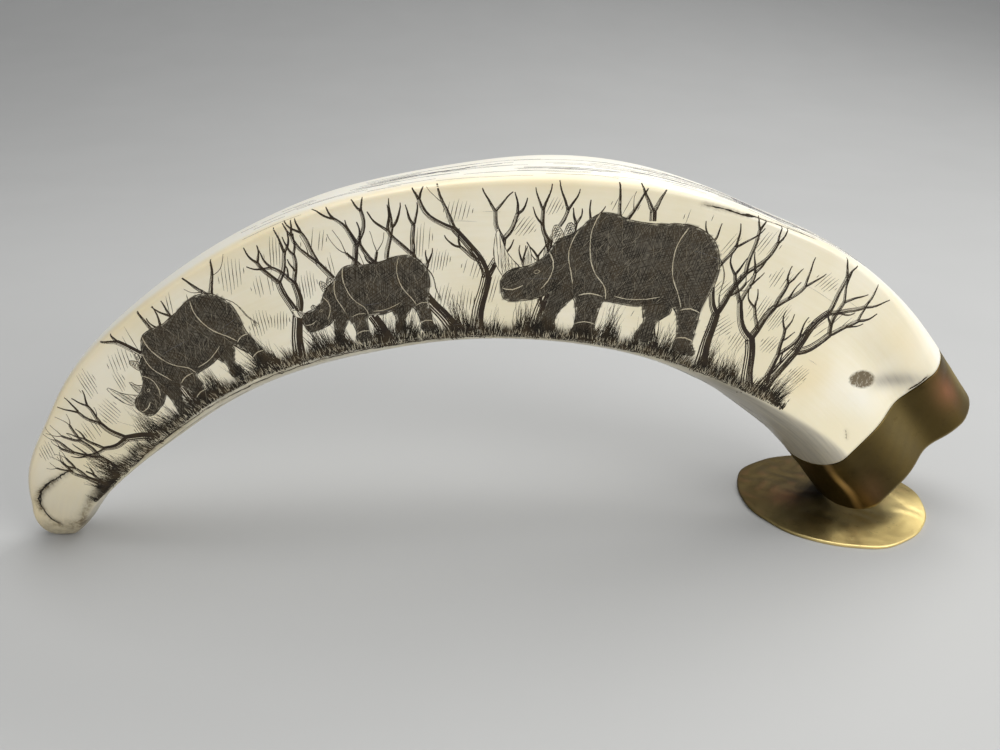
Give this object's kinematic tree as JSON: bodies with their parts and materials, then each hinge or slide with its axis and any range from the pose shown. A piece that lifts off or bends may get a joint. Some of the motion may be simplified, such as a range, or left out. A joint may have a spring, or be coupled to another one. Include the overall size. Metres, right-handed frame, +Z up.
{
  "type": "carved tusk",
  "caption": "Curved ivory tusk with one flat engraved face, a lobed butt in a brass cap, standing on its tip and on a brass foot disc.",
  "frame": {"origin": "centre of the bounding box in X and Y, on the surface that the tip and the foot stand on", "axes": "+X from the tip to the foot, +Y away from the engraved face, +Z up"},
  "size_m": [0.287, 0.0584, 0.1107],
  "materials": {
    "ivory": "polished ivory, engraved and inked",
    "cap_brass": "antique brass, satin",
    "foot_brass": "antique brass, satin, rubbed at the rim"
  },
  "bodies": {
    "root": {"tusk": "ivory", "brass_cap": "cap_brass", "brass_foot": "foot_brass"}
  },
  "joints": []
}
